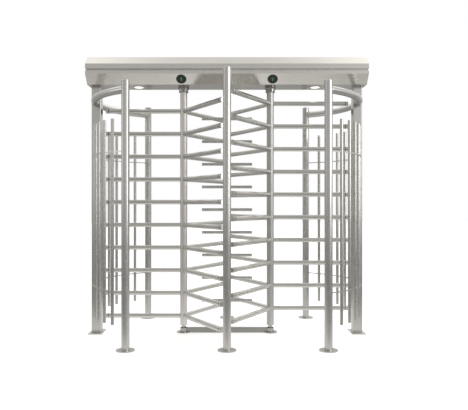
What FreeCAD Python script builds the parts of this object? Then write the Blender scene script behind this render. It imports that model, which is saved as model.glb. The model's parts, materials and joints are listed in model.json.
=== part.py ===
import FreeCAD, Part
import math
import os

from FreeCAD import Vector

# Double full-height turnstile. Millimetres, +Z up, origin on the floor at the middle of the footprint.
# X runs across the two lanes, -Y is the side that visitors walk in from.

UP = Vector(0, 0, 1)
ACROSS = Vector(1, 0, 0)
ALONG = Vector(0, 1, 0)
ORIGIN = Vector(0, 0, 0)

# overall layout
rotor_offset = 366.0
post_circle = 734.0
header_underside = 2072.0

# rotors
column_radius = 30.0
column_wall = 3.0
column_bottom = 64.0
column_top_drop = 36.0
arm_radius = 19.0
arm_wall = 2.0
arm_tip_gap = 47.0
arm_layers = 10
arms_per_layer = 3
first_layer = 204.0
arm_cap_length = 25.0
arm_cap_spigot = 18.0
arm_cap_groove = 1.5
arm_cap_recess_radius = 12.0
arm_cap_recess_depth = 4.0

# round posts
post_radius = 30.0
post_wall = 2.0
post_above_ring = 68.0
center_post_inset = 9.7
center_post_rise = 24.0
post_plate_rim = 40.0
plate_thickness = 8.0
plate_chamfer = 1.5
post_anchor_inset = 16.0
anchor_hole_radius = 6.0
anchor_holes = 4
post_cap_height = 4.0
post_cap_spigot = 15.0

# square side posts
side_post_inset = 2.0
side_post_width = 80.0
side_post_wall = 3.0
side_post_corner = 8.0
side_plate_rim_x = 17.5
side_plate_rim_y = 55.0
side_anchor_inset_x = 22.5
side_anchor_inset_y = 23.0
cap_plate_thickness = 10.0
cap_plate_bolt_offset = 22.0
grommet_drop = 68.0
grommet_hole_radius = 19.0
grommet_flange_rim = 4.0
grommet_flange = 2.5

# ring and cage on the outer sides
ring_radius = 28.5
ring_wall = 2.5
ring_drop = 140.0
cage_outset = 1.0
cage_bar_radius = 12.5
cage_bar_wall = 1.5
cage_bar_bottom = 173.0
cage_drop = 205.0
cage_bars_per_quarter = 5
cage_first_angle = 12.5
cage_last_gap = 11.0
lower_hoop_rise = 255.0
upper_hoop_drop = 252.0
hoop_height = 8.0
hoop_thickness = 5.0
hoop_seat = 0.3
bar_cap_head = 3.0
bar_cap_spigot = 12.0

# fixed comb on the middle plane
comb_end_gap = 124.0
comb_long_radius = 16.0
comb_long_wall = 2.0

# tie tube under the header
tie_radius = 28.5
tie_wall = 3.0
tie_drop = 36.0
saddle_width = 50.0
saddle_length = 130.0
saddle_bolt_x = 15.0
saddle_bolt_y = 50.0

# floor beam and lower pivots
beam_size = 40.0
beam_wall = 3.0
pivot_plate_rim = 29.0
pivot_anchor_inset = 14.0
pivot_anchor_radius = 4.5
pivot_housing_wall = 8.0
pivot_housing_top = 40.0
pivot_floor = 4.0
lower_bearing_bore = 10.0
lower_bearing_radius = 21.0
lower_bearing_width = 12.0
lower_bearing_depth = 2.0
sump_rim = 2.0
stub_radius = 17.0
stub_end = 16.0
seal_height = 3.0
seal_gap = 1.5
seal_rim = 2.0

# top bearing collars
collar_flange = 9.0
collar_height = 46.0
collar_neck_height = 8.0
collar_skirt_gap = 1.5
collar_skirt_depth = 14.0
collar_lip = 2.5
collar_neck_step = 4.0
collar_body_step = 4.5
collar_flange_step = 4.5
collar_bolt_inset = 8.0
bearing_ledge = 4.5
upper_bearing_bore = 15.0
upper_bearing_radius = 27.5
upper_bearing_width = 13.0
shaft_hole_gap = 5.0

# bearings
race_share = 0.3
shield_depth = 1.0
journal_shoulder = 3.0

# header sheet metal
sheet = 2.0
header_overhang = 59.0
underside_half_depth = 113.0
fascia_half_depth = 185.0
lid_flat_half_depth = 106.0
slope_height = 75.0
pan_wall_height = 25.0
groove_height = 16.0
fascia_height = 41.0
lid_height = 71.0
pan_lip = 12.0
groove_recess = 6.0
groove_rail_wall = 4.0
seam_width = 1.0
seam_depth = 0.8
lid_skirt_drop = 15.0
lid_skirt_gap = 0.6
chassis_thickness = 4.0
chassis_side_gap = 13.0
chassis_end_gap = 12.0

# indicators and downlights
indicator_outset = 9.0
indicator_bezel_height = 3.0
indicator_lens_radius = 37.0
indicator_lens_rim = 5.5
indicator_lens_thickness = 1.6
indicator_can_radius = 33.0
indicator_can_depth = 22.0
arrow_length = 34.0
arrow_head_half = 14.5
arrow_shaft_half = 5.0
symbol_thickness = 0.4
downlight_outset = 13.0
downlight_rim = 3.0
downlight_rim_width = 7.0
downlight_lens_radius = 38.0
downlight_lens_recess = 1.0
downlight_body_wall = 2.0
downlight_body_height = 36.0
downlight_hole_gap = 1.0

# counting gears
gear_module = 2.0
gear_teeth = 54
pinion_teeth = 18
dedendum = 1.25
pressure_angle = math.radians(20)
gear_backlash = 0.4
gear_rise = 32.0
gear_thickness = 10.0
hub_radius = 20.0
hub_height = 12.0
gear_seat_radius = 12.0
pinion_extra = 1.0
pinion_shaft_radius = 3.0
pinion_shaft_gap = 2.0
encoder_radius = 22.0
encoder_height = 22.0
encoder_boss_radius = 8.0
encoder_boss = 2.0
encoder_foot = 60.0
encoder_bore_depth = 16.0

# locking
lock_disc_radius = 65.0
lock_disc_thickness = 8.0
lock_notches = 6
notch_width = 13.0
lightening_radius = 8.0
bolt_radius = 6.0
bolt_nose = 1.0
bolt_rest_gap = 2.0
bolt_end_gap = 4.0
bolt_travel = 14.0
bolt_collar_radius = 9.0
bolt_collar = 3.0
bolt_collar_gap = 1.0
bracket_disc_gap = 5.0
guide_inset = 4.0
guide_length = 16.0
guide_width = 24.0
web_thickness = 4.0
web_inset_front = 6.0
web_inset_rear = 12.0
bracket_rim = 3.0
bracket_end_rim = 6.0
solenoid_length = 60.0
solenoid_width = 44.0
nut_flats = 30.0
nut_height = 16.0
thread_radius = 10.0
thread_length = 20.0

# electronics on the chassis
unit_middle_gap = 40.0
unit_encoder_gap = 44.0
unit_depth = 100.0
controller_height = 42.0
supply_height = 50.0
unit_ear = 15.0
unit_screw_offset = 35.0
foot_thickness = 4.0
foot_screw_inset = 6.0
guide_screw_inset = 8.0

# fasteners
m5_radius = 2.5
m5_head_radius = 4.25
m5_head_height = 4.0
m8_radius = 4.0
m8_head_radius = 6.5
m8_head_height = 8.0
m10_radius = 5.0
m10_head_radius = 8.0
m10_head_height = 10.0
socket_share = 0.9
thread_engagement = 7.0
thread_end_gap = 1.0

# clearances
fit_gap = 0.05
press_gap = 0.02
bolt_slide_gap = 0.06
hole_gap = 0.5
axial_gap = 0.3
cap_plate_gap = 0.1
tooth_foot_gap = 0.01
tiny = 1e-6

# heights worked out from the values above
ring_height = header_underside - ring_drop
outer_post_height = ring_height + post_above_ring
center_post_height = header_underside + center_post_rise
layer_pitch = (ring_height - first_layer) / (arm_layers - 1)
level_step = layer_pitch / 3
cage_bar_top = ring_height - cage_drop
column_top = header_underside - column_top_drop
tie_height = header_underside - tie_drop
collar_bottom = header_underside - collar_height
floor_top = header_underside + sheet
slope_top = header_underside + slope_height
pan_top = slope_top + pan_wall_height
fascia_bottom = pan_top + groove_height
fascia_top = fascia_bottom + fascia_height
header_top = fascia_top + lid_height
chassis_top = floor_top + chassis_thickness
foot_top = chassis_top + foot_thickness
gear_height = chassis_top + gear_rise
disc_bottom = gear_height + gear_thickness + hub_height
disc_top = disc_bottom + lock_disc_thickness
bolt_height = (disc_bottom + disc_top) / 2
solenoid_bottom = bolt_height - solenoid_width / 2
upper_bearing_bottom = header_underside - upper_bearing_width
lower_bearing_top = pivot_housing_top - lower_bearing_depth
lower_bearing_bottom = lower_bearing_top - lower_bearing_width

# places in plan
side_post_offset = rotor_offset + post_circle - side_post_inset
center_post_depth = math.sqrt((post_circle - center_post_inset) ** 2 - rotor_offset ** 2)
outer_post_depth = center_post_depth
ring_angle = math.asin(outer_post_depth / post_circle)
outer_post_offset = rotor_offset + post_circle * math.cos(ring_angle)
cage_circle = post_circle + cage_outset
cage_angle_step = (math.degrees(ring_angle) - cage_first_angle - cage_last_gap) / (cage_bars_per_quarter - 1)
arm_reach = post_circle - post_radius - arm_tip_gap
comb_reach = rotor_offset - column_radius - comb_end_gap
header_length = 2 * (side_post_offset + header_overhang)
seam_offset = header_length / 4
chassis_half_depth = underside_half_depth - chassis_side_gap
slope_run = fascia_half_depth - underside_half_depth
slope_length = math.hypot(slope_run, slope_height)
indicator_offset = rotor_offset + indicator_outset
downlight_offset = (rotor_offset + side_post_offset) / 2 + downlight_outset
gear_distance = gear_module * (gear_teeth + pinion_teeth) / 2
encoder_offset = rotor_offset - gear_distance
bolt_start = lock_disc_radius + bolt_rest_gap
notch_bottom = bolt_start - bolt_travel - bolt_rest_gap
bracket_start = lock_disc_radius + bracket_disc_gap
guide_start = bracket_start + guide_inset
solenoid_start = guide_start + guide_length + bolt_collar_gap + bolt_travel + bolt_collar + bolt_rest_gap
solenoid_bore_depth = solenoid_length - foot_thickness
bolt_length = solenoid_start + solenoid_bore_depth - bolt_end_gap - bolt_start
unit_outer_end = encoder_offset - encoder_foot / 2 - unit_encoder_gap
unit_offset = (unit_middle_gap + unit_outer_end) / 2
unit_length = unit_outer_end - unit_middle_gap - 2 * unit_ear

# radii and widths that fit one another
column_bore = column_radius - column_wall
post_bore = post_radius - post_wall
post_plate_radius = post_radius + post_plate_rim
side_plate_half_x = side_post_width / 2 + side_plate_rim_x
side_plate_half_y = side_post_width / 2 + side_plate_rim_y
pivot_housing_radius = lower_bearing_radius + pivot_housing_wall
pivot_plate_radius = pivot_housing_radius + pivot_plate_rim
seal_inner = stub_radius + seal_gap
seal_outer = pivot_housing_radius - seal_rim
collar_skirt_bore = column_radius + collar_skirt_gap
collar_lip_radius = collar_skirt_bore + collar_lip
collar_neck_radius = collar_lip_radius + collar_neck_step
collar_body_radius = collar_neck_radius + collar_body_step
collar_flange_radius = collar_body_radius + collar_flange_step
collar_ledge_bore = upper_bearing_radius - bearing_ledge
downlight_body_radius = downlight_lens_radius + downlight_body_wall


def cylinder(radius, height, base, direction=UP):
    return Part.makeCylinder(radius, height, base, direction)


def tube(radius, wall, height, base, direction=UP):
    return cylinder(radius, height, base, direction).cut(cylinder(radius - wall, height, base, direction))


def block(x0, x1, y0, y1, z0, z1):
    return Part.makeBox(x1 - x0, y1 - y0, z1 - z0, Vector(x0, y0, z0))


def turned(profile, base=ORIGIN, direction=UP):
    """A solid of revolution from (radius, height) corners, with its axis on base along direction."""
    corners = [Vector(radius, 0, height) for radius, height in profile]
    solid = Part.Face(Part.makePolygon(corners + corners[:1])).revolve(ORIGIN, UP, 360)
    if solid.Volume < 0:
        solid.reverse()
    solid.Placement = FreeCAD.Placement(base, FreeCAD.Rotation(UP, direction))
    return solid


def prism(outline, half_length):
    """A solid along X from (depth, height) corners."""
    corners = [Vector(-half_length, depth, height) for depth, height in outline]
    return Part.Face(Part.makePolygon(corners + corners[:1])).extrude(Vector(2 * half_length, 0, 0))


def square_bar(center_x, half, corner, z0, z1):
    bar = block(center_x - half, center_x + half, -half, half, z0, z1)
    upright = [edge for edge in bar.Edges if abs(edge.BoundBox.ZLength - (z1 - z0)) < tiny]
    return bar.makeFillet(corner, upright)


def both_sides(shapes):
    """The right-hand pieces together with their mirror images on the left."""
    return shapes + [shape.mirror(ORIGIN, ACROSS) for shape in shapes]


def both_points(points):
    return points + [Vector(-point.x, point.y, point.z) for point in points]


def around(count, radius, first, base):
    """Points evenly spaced on a level circle."""
    steps = [first + 2 * math.pi * i / count for i in range(count)]
    return [base + Vector(radius * math.cos(a), radius * math.sin(a), 0) for a in steps]


def save(node, shapes):
    solids = [solid for shape in shapes for solid in shape.Solids]
    for solid in solids:
        if not solid.isValid() or solid.Volume <= 0:
            raise ValueError("bad solid in " + node)
    Part.makeCompound(solids).exportStep("parts/" + node + ".step")
    print(node, len(solids), "solids")


# ---- posts ----

def outer_post_places():
    return [Vector(x, y, 0) for x in (-outer_post_offset, outer_post_offset)
            for y in (-outer_post_depth, outer_post_depth)]


def center_post_places():
    return [Vector(0, y, 0) for y in (-center_post_depth, center_post_depth)]


def post_tube(place, height):
    length = height - plate_thickness - post_cap_height
    return tube(post_radius, post_wall, length, place + UP * plate_thickness)


def post_cap(place, height):
    spigot = post_bore - fit_gap
    profile = [
        (0, -post_cap_spigot),
        (spigot, -post_cap_spigot),
        (spigot, 0),
        (post_radius, 0),
        (post_radius, post_cap_height / 2),
        (post_radius - post_cap_height / 2, post_cap_height),
        (0, post_cap_height),
    ]
    return turned(profile, place + UP * (height - post_cap_height))


def round_plate(place, radius, thickness):
    profile = [
        (0, 0),
        (radius, 0),
        (radius, thickness - plate_chamfer),
        (radius - plate_chamfer, thickness),
        (0, thickness),
    ]
    return turned(profile, place)


def post_base_plate(place):
    plate = round_plate(place, post_plate_radius, plate_thickness)
    points = around(anchor_holes, post_plate_radius - post_anchor_inset, math.pi / 4, place)
    holes = [cylinder(anchor_hole_radius, plate_thickness, point) for point in points]
    return plate.cut(Part.makeCompound(holes))


def make_posts():
    outer = outer_post_places()
    center = center_post_places()
    save("outer_posts", [post_tube(place, outer_post_height) for place in outer])
    save("center_posts", [post_tube(place, center_post_height) for place in center])
    caps = [post_cap(place, outer_post_height) for place in outer]
    caps += [post_cap(place, center_post_height) for place in center]
    save("post_caps", caps)
    save("post_base_plates", [post_base_plate(place) for place in outer + center])


# ---- square side posts ----

def side_post_bolt_points(z):
    step = cap_plate_bolt_offset
    return [Vector(side_post_offset + i * step, j * step, z) for i in (-1, 1) for j in (-1, 1)]


def side_post():
    half = side_post_width / 2
    outer = square_bar(side_post_offset, half, side_post_corner, plate_thickness, header_underside)
    inner = square_bar(side_post_offset, half - side_post_wall, side_post_corner - side_post_wall,
                       plate_thickness, header_underside)
    inner_face = Vector(side_post_offset - half, 0, ring_height - grommet_drop)
    return outer.cut(inner).cut(cylinder(grommet_hole_radius, side_post_wall, inner_face, ACROSS))


def side_post_base_plate():
    plate = block(side_post_offset - side_plate_half_x, side_post_offset + side_plate_half_x,
                  -side_plate_half_y, side_plate_half_y, 0, plate_thickness)
    rim = [edge for edge in plate.Edges if edge.BoundBox.ZMin > plate_thickness / 2]
    plate = plate.makeChamfer(plate_chamfer, rim)
    hole_x = side_plate_half_x - side_anchor_inset_x
    hole_y = side_plate_half_y - side_anchor_inset_y
    points = [Vector(side_post_offset + i * hole_x, j * hole_y, 0) for i in (-1, 1) for j in (-1, 1)]
    holes = [cylinder(anchor_hole_radius, plate_thickness, point) for point in points]
    return plate.cut(Part.makeCompound(holes))


def side_post_cap_plate():
    bottom = header_underside - cap_plate_thickness
    half = side_post_width / 2 - side_post_wall - cap_plate_gap
    plate = square_bar(side_post_offset, half, side_post_corner - side_post_wall, bottom, header_underside)
    holes = [cylinder(m10_radius, cap_plate_thickness, point) for point in side_post_bolt_points(bottom)]
    return plate.cut(Part.makeCompound(holes))


def side_post_grommet():
    neck = grommet_hole_radius - fit_gap
    flange_radius = grommet_hole_radius + grommet_flange_rim
    profile = [
        (0, -side_post_wall),
        (neck, -side_post_wall),
        (neck, 0),
        (flange_radius, 0),
        (flange_radius, grommet_flange / 2),
        (flange_radius - grommet_flange / 2, grommet_flange),
        (neck - 2 * grommet_flange, grommet_flange),
        (neck - 3 * grommet_flange, grommet_flange / 2),
        (0, grommet_flange / 2),
    ]
    inner_face = Vector(side_post_offset - side_post_width / 2, 0, ring_height - grommet_drop)
    return turned(profile, inner_face, -ACROSS)


def make_side_posts():
    save("side_posts", both_sides([side_post()]))
    save("side_post_base_plates", both_sides([side_post_base_plate()]))
    save("side_post_cap_plates", both_sides([side_post_cap_plate()]))
    save("side_post_grommets", both_sides([side_post_grommet()]))


# ---- ring and cage ----

def swept(section, quarter):
    """A section in the XZ plane carried from the side post round to an outer post."""
    axis = Vector(rotor_offset, 0, 0)
    return section.revolve(axis, UP * quarter, math.degrees(ring_angle))


def side_post_envelope():
    half = side_post_width / 2
    return block(side_post_offset - half, side_post_offset + half, -half, half, 0, header_underside)


def outer_post_envelope(quarter):
    place = Vector(outer_post_offset, quarter * outer_post_depth, 0)
    return cylinder(post_radius, outer_post_height, place)


def between_posts(shape, quarter):
    return shape.cut(side_post_envelope()).cut(outer_post_envelope(quarter))


def ring_section(radius):
    circle = Part.Circle(Vector(rotor_offset + post_circle, 0, ring_height), ALONG, radius)
    return Part.Face(Part.Wire([circle.toShape()]))


def top_ring(quarter):
    outer = swept(ring_section(ring_radius), quarter)
    inner = swept(ring_section(ring_radius - ring_wall), quarter)
    return between_posts(outer.cut(inner), quarter)


def cage_bar_places(quarter):
    angles = [math.radians(cage_first_angle + cage_angle_step * i) for i in range(cage_bars_per_quarter)]
    return [Vector(rotor_offset + cage_circle * math.cos(a), quarter * cage_circle * math.sin(a), 0)
            for a in angles]


def cage_bar(place):
    length = cage_bar_top - cage_bar_bottom - 2 * bar_cap_head
    return tube(cage_bar_radius, cage_bar_wall, length, place + UP * (cage_bar_bottom + bar_cap_head))


def bar_cap(base, direction):
    """A cap that closes a thin bar: its head starts at base and points along direction."""
    spigot = cage_bar_radius - cage_bar_wall - fit_gap
    profile = [
        (0, -bar_cap_spigot),
        (spigot, -bar_cap_spigot),
        (spigot, 0),
        (cage_bar_radius, 0),
        (cage_bar_radius, bar_cap_head / 2),
        (cage_bar_radius - bar_cap_head / 2, bar_cap_head),
        (0, bar_cap_head),
    ]
    return turned(profile, base, direction)


def cage_hoop(z, quarter, bars):
    inner = rotor_offset + cage_circle + cage_bar_radius - hoop_seat
    corners = [
        Vector(inner, 0, z - hoop_height / 2),
        Vector(inner + hoop_thickness, 0, z - hoop_height / 2),
        Vector(inner + hoop_thickness, 0, z + hoop_height / 2),
        Vector(inner, 0, z + hoop_height / 2),
    ]
    section = Part.Face(Part.makePolygon(corners + corners[:1]))
    hoop = between_posts(swept(section, quarter), quarter)
    for place in bars:
        hoop = hoop.cut(cylinder(cage_bar_radius, cage_bar_top, place))
    return hoop


def make_cage():
    rings, bars, caps, hoops = [], [], [], []
    hoop_heights = (cage_bar_bottom + lower_hoop_rise, cage_bar_top - upper_hoop_drop)
    for quarter in (-1, 1):
        places = cage_bar_places(quarter)
        rings.append(top_ring(quarter))
        bars += [cage_bar(place) for place in places]
        caps += [bar_cap(place + UP * (cage_bar_bottom + bar_cap_head), -UP) for place in places]
        caps += [bar_cap(place + UP * (cage_bar_top - bar_cap_head), UP) for place in places]
        hoops += [cage_hoop(z, quarter, places) for z in hoop_heights]
    save("top_rings", both_sides(rings))
    save("cage_bars", both_sides(bars))
    save("cage_hoops", both_sides(hoops))
    return both_sides(caps)


# ---- fixed comb and tie tube ----

def comb_heights():
    return [first_layer + level_step + layer_pitch * i for i in range(arm_layers - 1)]


def between_center_posts(radius, wall, z):
    start = Vector(0, -center_post_depth, z)
    bar = tube(radius, wall, 2 * center_post_depth, start, ALONG)
    for place in center_post_places():
        bar = bar.cut(cylinder(post_radius, center_post_height, place))
    return bar


def comb_cross_bar(z):
    bar = tube(cage_bar_radius, cage_bar_wall, comb_reach - bar_cap_head, Vector(0, 0, z), ACROSS)
    start = Vector(0, -comb_long_radius * 2, z)
    return bar.cut(cylinder(comb_long_radius, comb_long_radius * 4, start, ALONG))


def make_comb(cage_caps):
    heights = comb_heights()
    save("comb_long_bars", [between_center_posts(comb_long_radius, comb_long_wall, z) for z in heights])
    save("comb_cross_bars", both_sides([comb_cross_bar(z) for z in heights]))
    ends = [bar_cap(Vector(comb_reach - bar_cap_head, 0, z), ACROSS) for z in heights]
    save("bar_caps", cage_caps + both_sides(ends))


def saddle_bolt_points(z):
    return [Vector(i * saddle_bolt_x, j * saddle_bolt_y, z) for i in (-1, 1) for j in (-1, 1)]


def make_tie():
    save("top_tie_tube", [between_center_posts(tie_radius, tie_wall, tie_height)])
    half_x = saddle_width / 2
    half_y = saddle_length / 2
    saddle = block(-half_x, half_x, -half_y, half_y, tie_height, header_underside)
    saddle = saddle.cut(cylinder(tie_radius, saddle_length, Vector(0, -half_y, tie_height), ALONG))
    bottom = header_underside - thread_engagement - thread_end_gap
    holes = [cylinder(m8_radius, header_underside - bottom, point) for point in saddle_bolt_points(bottom)]
    save("tie_tube_saddle", [saddle.cut(Part.makeCompound(holes))])


# ---- lower pivots ----

def lower_pivot_housing():
    place = Vector(rotor_offset, 0, 0)
    bearing_seat = lower_bearing_radius + press_gap
    sump = lower_bearing_bore + sump_rim
    sump_bottom = plate_thickness + pivot_floor
    profile = [
        (0, 0),
        (pivot_plate_radius, 0),
        (pivot_plate_radius, plate_thickness - plate_chamfer),
        (pivot_plate_radius - plate_chamfer, plate_thickness),
        (pivot_housing_radius, plate_thickness),
        (pivot_housing_radius, pivot_housing_top),
        (bearing_seat, pivot_housing_top),
        (bearing_seat, lower_bearing_bottom),
        (sump, lower_bearing_bottom),
        (sump, sump_bottom),
        (0, sump_bottom),
    ]
    points = around(anchor_holes, pivot_plate_radius - pivot_anchor_inset, math.pi / 4, place)
    holes = [cylinder(pivot_anchor_radius, plate_thickness, point) for point in points]
    return turned(profile, place).cut(Part.makeCompound(holes))


def sealed_bearing(bore, radius, width, bottom):
    """A shielded ball bearing, with its shields sunk between the two race rims."""
    rim = (radius - bore) * race_share
    profile = [
        (bore, 0),
        (bore + rim, 0),
        (bore + rim, shield_depth),
        (radius - rim, shield_depth),
        (radius - rim, 0),
        (radius, 0),
        (radius, width),
        (radius - rim, width),
        (radius - rim, width - shield_depth),
        (bore + rim, width - shield_depth),
        (bore + rim, width),
        (bore, width),
    ]
    return turned(profile, Vector(rotor_offset, 0, bottom))


def lower_seal():
    profile = [
        (seal_inner, 0),
        (seal_outer, 0),
        (seal_outer, seal_height / 2),
        (seal_inner + seal_height / 2, seal_height),
        (seal_inner, seal_height),
    ]
    return turned(profile, Vector(rotor_offset, 0, pivot_housing_top))


def bottom_beam():
    half = beam_size / 2
    inside = half - beam_wall
    beam = block(-rotor_offset, rotor_offset, -half, half, 0, beam_size)
    beam = beam.cut(block(-rotor_offset, rotor_offset, -inside, inside, beam_wall, beam_size - beam_wall))
    for side in (-1, 1):
        place = Vector(side * rotor_offset, 0, 0)
        beam = beam.cut(cylinder(pivot_housing_radius, beam_size, place))
        beam = beam.cut(cylinder(pivot_plate_radius, plate_thickness, place))
    return beam


def make_lower_pivots():
    save("lower_pivot_housings", both_sides([lower_pivot_housing()]))
    bearing = sealed_bearing(lower_bearing_bore, lower_bearing_radius, lower_bearing_width,
                             lower_bearing_bottom)
    save("lower_bearings", both_sides([bearing]))
    save("lower_seals", both_sides([lower_seal()]))
    save("bottom_beam", [bottom_beam()])


# ---- top collars ----

def collar_bolt_points(z):
    circle = collar_flange_radius - collar_bolt_inset
    return around(anchor_holes, circle, math.pi / 4, Vector(rotor_offset, 0, z))


def top_collar():
    flange_bottom = header_underside - collar_flange
    skirt_top = collar_bottom + collar_skirt_depth
    seat = upper_bearing_radius + press_gap
    profile = [
        (collar_skirt_bore, collar_bottom),
        (collar_lip_radius, collar_bottom),
        (collar_neck_radius, collar_bottom + collar_neck_height),
        (collar_body_radius, flange_bottom),
        (collar_flange_radius, flange_bottom),
        (collar_flange_radius, header_underside),
        (seat, header_underside),
        (seat, upper_bearing_bottom),
        (collar_ledge_bore, upper_bearing_bottom),
        (collar_ledge_bore, skirt_top),
        (collar_skirt_bore, skirt_top),
    ]
    depth = thread_engagement + thread_end_gap
    holes = [cylinder(m8_radius, depth, point) for point in collar_bolt_points(header_underside - depth)]
    return turned(profile, Vector(rotor_offset, 0, 0)).cut(Part.makeCompound(holes))


def make_top_collars():
    save("top_collars", both_sides([top_collar()]))
    bearing = sealed_bearing(upper_bearing_bore, upper_bearing_radius, upper_bearing_width,
                             upper_bearing_bottom)
    save("upper_bearings", both_sides([bearing]))


# ---- header ----

def slope_frame():
    """The middle of the front slope, its outward normal and its uphill direction."""
    middle = Vector(0, -(underside_half_depth + fascia_half_depth) / 2, (header_underside + slope_top) / 2)
    normal = Vector(0, -slope_height, -slope_run) / slope_length
    uphill = Vector(0, -slope_run, slope_height) / slope_length
    return middle, normal, uphill


def frame_ring(half_length, half_depth, wall, z0, z1):
    outer = block(-half_length, half_length, -half_depth, half_depth, z0, z1)
    return outer.cut(block(-half_length + wall, half_length - wall, -half_depth + wall, half_depth - wall,
                           z0, z1))


def chassis_holes(z0, z1):
    """Everything that passes through the header floor and the chassis."""
    depth = z1 - z0
    right = [cylinder(upper_bearing_bore + shaft_hole_gap, depth, Vector(rotor_offset, 0, z0))]
    right += [cylinder(m8_radius + hole_gap, depth, point) for point in collar_bolt_points(z0)]
    right += [cylinder(m10_radius + hole_gap, depth, point) for point in side_post_bolt_points(z0)]
    downlight = Vector(downlight_offset, 0, z0)
    right.append(cylinder(downlight_body_radius + downlight_hole_gap, depth, downlight))
    middle = [cylinder(m8_radius + hole_gap, depth, point) for point in saddle_bolt_points(z0)]
    return Part.makeCompound(both_sides(right) + middle)


def header_pan():
    half = header_length / 2
    outline = [
        (-underside_half_depth, header_underside),
        (underside_half_depth, header_underside),
        (fascia_half_depth, slope_top),
        (fascia_half_depth, pan_top),
        (-fascia_half_depth, pan_top),
        (-fascia_half_depth, slope_top),
    ]
    shift = sheet * slope_length / slope_height
    steepness = slope_run / slope_height
    inner_floor = underside_half_depth + sheet * steepness - shift
    inner_wall = fascia_half_depth - sheet
    inner_knee = slope_top + (shift - sheet) / steepness
    hollow = [
        (-inner_floor, floor_top),
        (inner_floor, floor_top),
        (inner_wall, inner_knee),
        (inner_wall, pan_top),
        (-inner_wall, pan_top),
        (-inner_wall, inner_knee),
    ]
    pan = prism(outline, half).cut(prism(hollow, half - sheet))
    lip = frame_ring(half - sheet, inner_wall, pan_lip - sheet, pan_top - sheet, pan_top)
    middle, normal, _ = slope_frame()
    behind = middle - normal * (3 * sheet)
    openings = [cylinder(indicator_can_radius + hole_gap, 4 * sheet, behind + ACROSS * x, normal)
                for x in (-indicator_offset, indicator_offset)]
    pan = pan.fuse(lip).cut(Part.makeCompound(openings))
    return pan.cut(chassis_holes(header_underside, floor_top)).removeSplitter()


def groove_rail():
    return frame_ring(header_length / 2 - groove_recess, fascia_half_depth - groove_recess, groove_rail_wall,
                      pan_top, fascia_bottom)


def header_fascia():
    half = header_length / 2
    band = frame_ring(half, fascia_half_depth, sheet, fascia_bottom, fascia_top)
    for bottom in (fascia_bottom, fascia_top - sheet):
        band = band.fuse(frame_ring(half, fascia_half_depth, pan_lip, bottom, bottom + sheet))
    seams = []
    for x in (-seam_offset, seam_offset):
        for y in (-fascia_half_depth, fascia_half_depth - seam_depth):
            seams.append(block(x - seam_width / 2, x + seam_width / 2, y, y + seam_depth, fascia_bottom,
                               fascia_top))
    return band.cut(Part.makeCompound(seams)).removeSplitter()


def header_lid():
    half = header_length / 2
    run = fascia_half_depth - lid_flat_half_depth
    shift = sheet * math.hypot(run, lid_height) / lid_height
    outline = [
        (-fascia_half_depth, fascia_top),
        (fascia_half_depth, fascia_top),
        (lid_flat_half_depth, header_top),
        (-lid_flat_half_depth, header_top),
    ]
    inner_top = lid_flat_half_depth + sheet * run / lid_height - shift
    hollow = [
        (-fascia_half_depth + shift, fascia_top),
        (fascia_half_depth - shift, fascia_top),
        (inner_top, header_top - sheet),
        (-inner_top, header_top - sheet),
    ]
    lid = prism(outline, half).cut(prism(hollow, half - sheet))
    edge = fascia_half_depth - pan_lip - lid_skirt_gap
    skirt_top = fascia_top + (fascia_half_depth - edge) * lid_height / run - sheet / 2
    reach = half - pan_lip - lid_skirt_gap
    for side in (-1, 1):
        inner, outer = sorted((side * (edge - sheet), side * edge))
        lid = lid.fuse(block(-reach, reach, inner, outer, fascia_top - lid_skirt_drop, skirt_top))
    return lid.removeSplitter()


def header_chassis():
    half = header_length / 2 - chassis_end_gap
    plate = block(-half, half, -chassis_half_depth, chassis_half_depth, floor_top, chassis_top)
    taps = [cylinder(m5_radius, chassis_thickness, point) for point in foot_screw_points(floor_top)]
    return plate.cut(chassis_holes(floor_top, chassis_top)).cut(Part.makeCompound(taps))


def make_header():
    save("header_pan", [header_pan()])
    save("header_groove_rail", [groove_rail()])
    save("header_fascia", [header_fascia()])
    save("header_lid", [header_lid()])
    save("header_chassis", [header_chassis()])


# ---- indicators and downlights ----

def indicator_housing(x):
    middle, normal, _ = slope_frame()
    lens_seat = indicator_bezel_height - indicator_lens_thickness - symbol_thickness
    bezel_radius = indicator_lens_radius + indicator_lens_rim
    profile = [
        (0, -indicator_can_depth),
        (indicator_can_radius, -indicator_can_depth),
        (indicator_can_radius, 0),
        (bezel_radius, 0),
        (bezel_radius, indicator_bezel_height / 2),
        (bezel_radius - indicator_bezel_height / 2, indicator_bezel_height),
        (indicator_lens_radius, indicator_bezel_height),
        (indicator_lens_radius, lens_seat),
        (0, lens_seat),
    ]
    return turned(profile, middle + ACROSS * x, normal)


def indicator_lens(x):
    middle, normal, _ = slope_frame()
    seat = indicator_bezel_height - indicator_lens_thickness - symbol_thickness
    base = middle + ACROSS * x + normal * seat
    return cylinder(indicator_lens_radius - fit_gap, indicator_lens_thickness, base, normal)


def indicator_symbol(x):
    """A plain arrow that points up the slope."""
    middle, normal, uphill = slope_frame()
    half = arrow_length / 2
    outline = [
        (-arrow_shaft_half, -half),
        (arrow_shaft_half, -half),
        (arrow_shaft_half, 0),
        (arrow_head_half, 0),
        (0, half),
        (-arrow_head_half, 0),
        (-arrow_shaft_half, 0),
    ]
    base = middle + ACROSS * x + normal * (indicator_bezel_height - symbol_thickness)
    corners = [base + ACROSS * u + uphill * v for u, v in outline]
    return Part.Face(Part.makePolygon(corners + corners[:1])).extrude(normal * symbol_thickness)


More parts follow.
